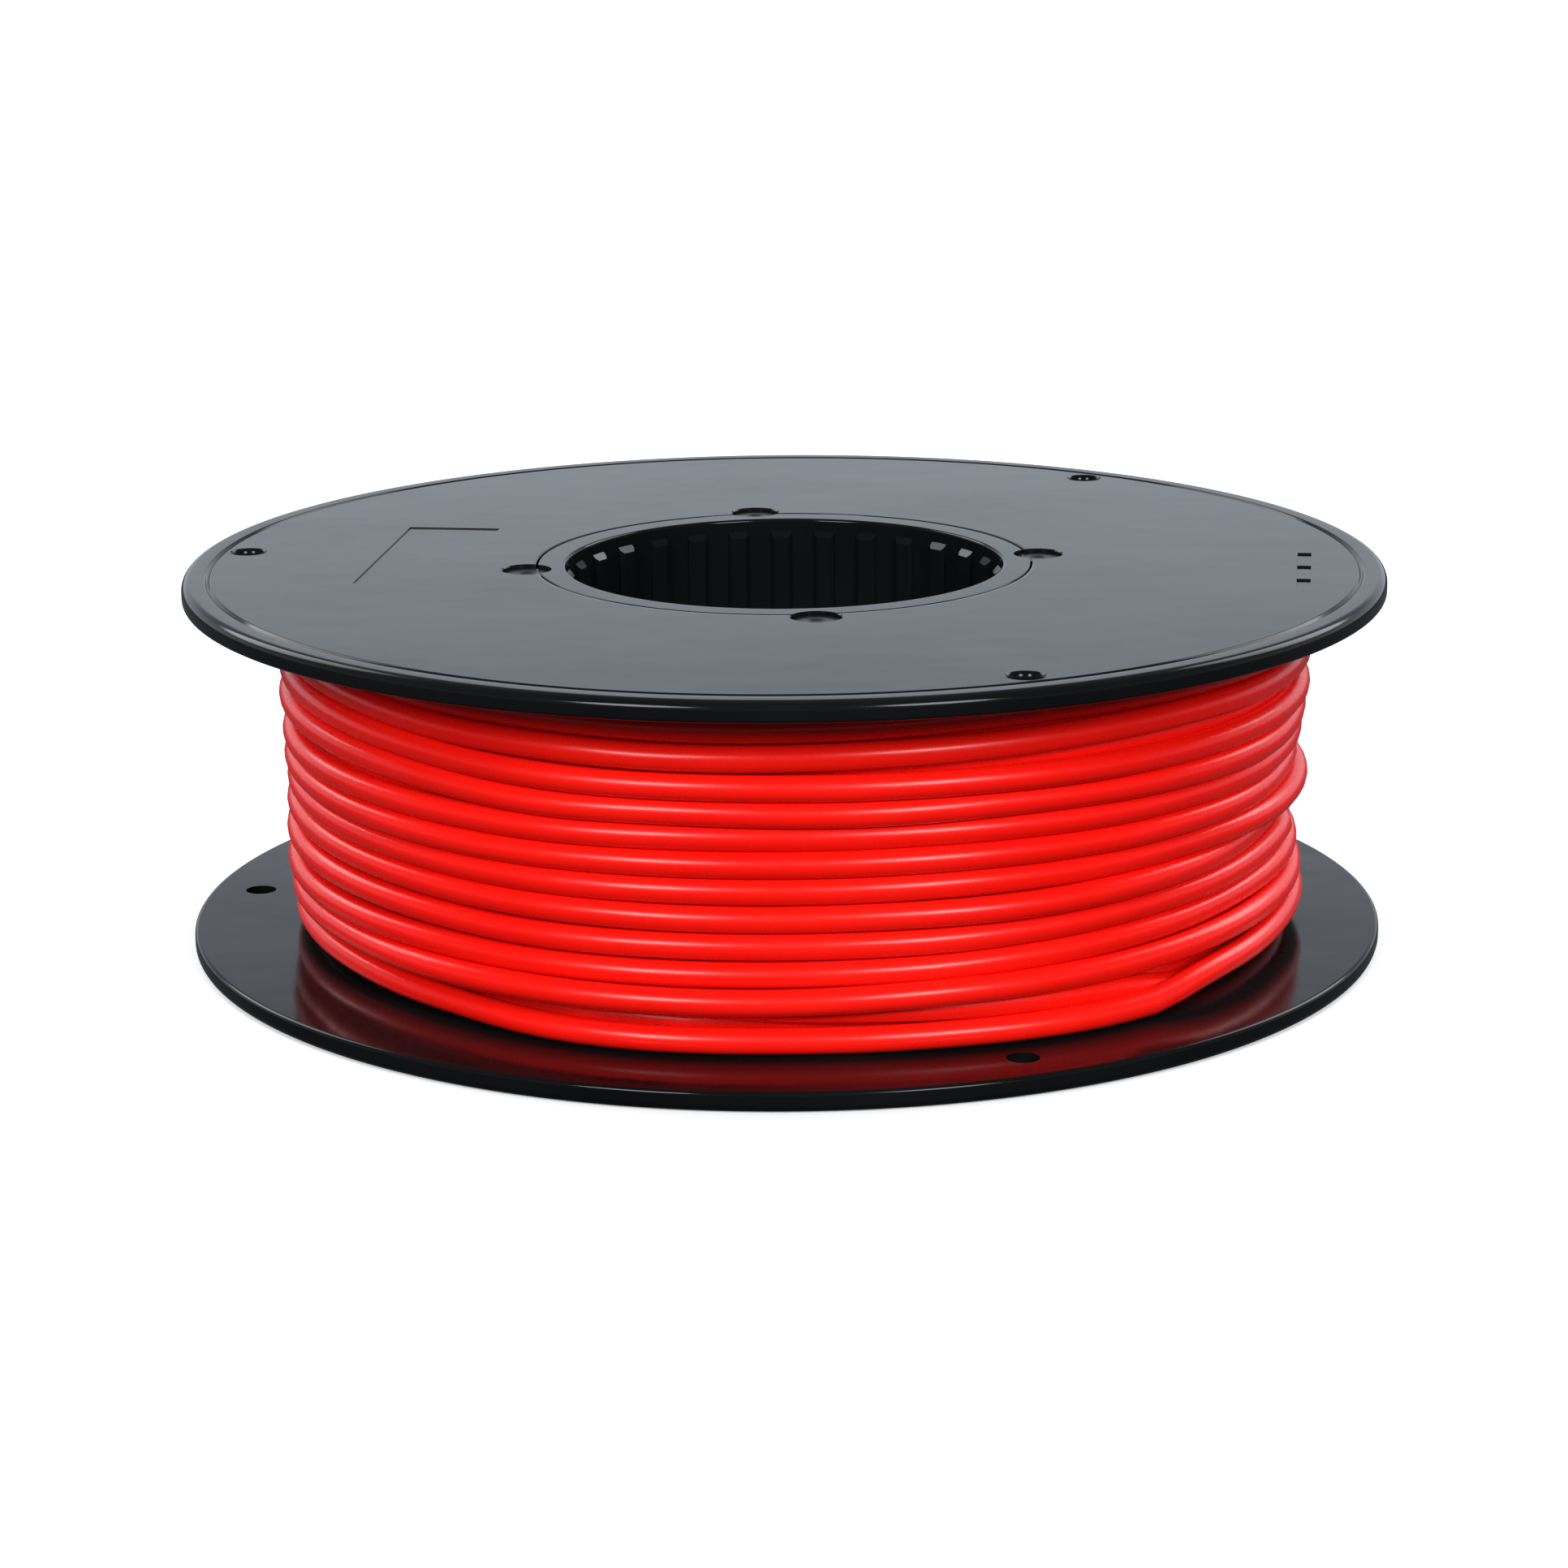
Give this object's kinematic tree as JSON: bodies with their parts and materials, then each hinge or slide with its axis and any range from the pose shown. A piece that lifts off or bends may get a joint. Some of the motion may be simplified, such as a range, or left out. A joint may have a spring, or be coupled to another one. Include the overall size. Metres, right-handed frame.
{
  "type": "wire spool",
  "caption": "Round plastic spool with thin flanges on a hub with a wide bore, wound full with insulated single-core wire.",
  "frame": {"origin": "centre of the lower flange's underside, on the spool's axis, where the spool stands on a surface", "axes": "+Z along the spool's axis from the lower flange to the upper one; +X to the right and +Y away as the spool is looked at from its front"},
  "size_m": [0.2, 0.2, 0.063],
  "materials": {
    "flange_plastic": "satin",
    "hub_plastic": "satin",
    "key_plastic": "matte",
    "wire_insulation": "satin",
    "wire_conductor": "satin"
  },
  "bodies": {
    "root": {"upper_flange": "flange_plastic", "lower_flange": "flange_plastic", "hub": "hub_plastic", "upper_key_1": "key_plastic", "upper_key_2": "key_plastic", "upper_key_3": "key_plastic", "upper_key_4": "key_plastic", "lower_key_1": "key_plastic", "lower_key_2": "key_plastic", "lower_key_3": "key_plastic", "lower_key_4": "key_plastic", "wire_winding": "wire_insulation", "wire_end_insulation": "wire_insulation", "wire_end_conductor": "wire_conductor"}
  },
  "joints": []
}
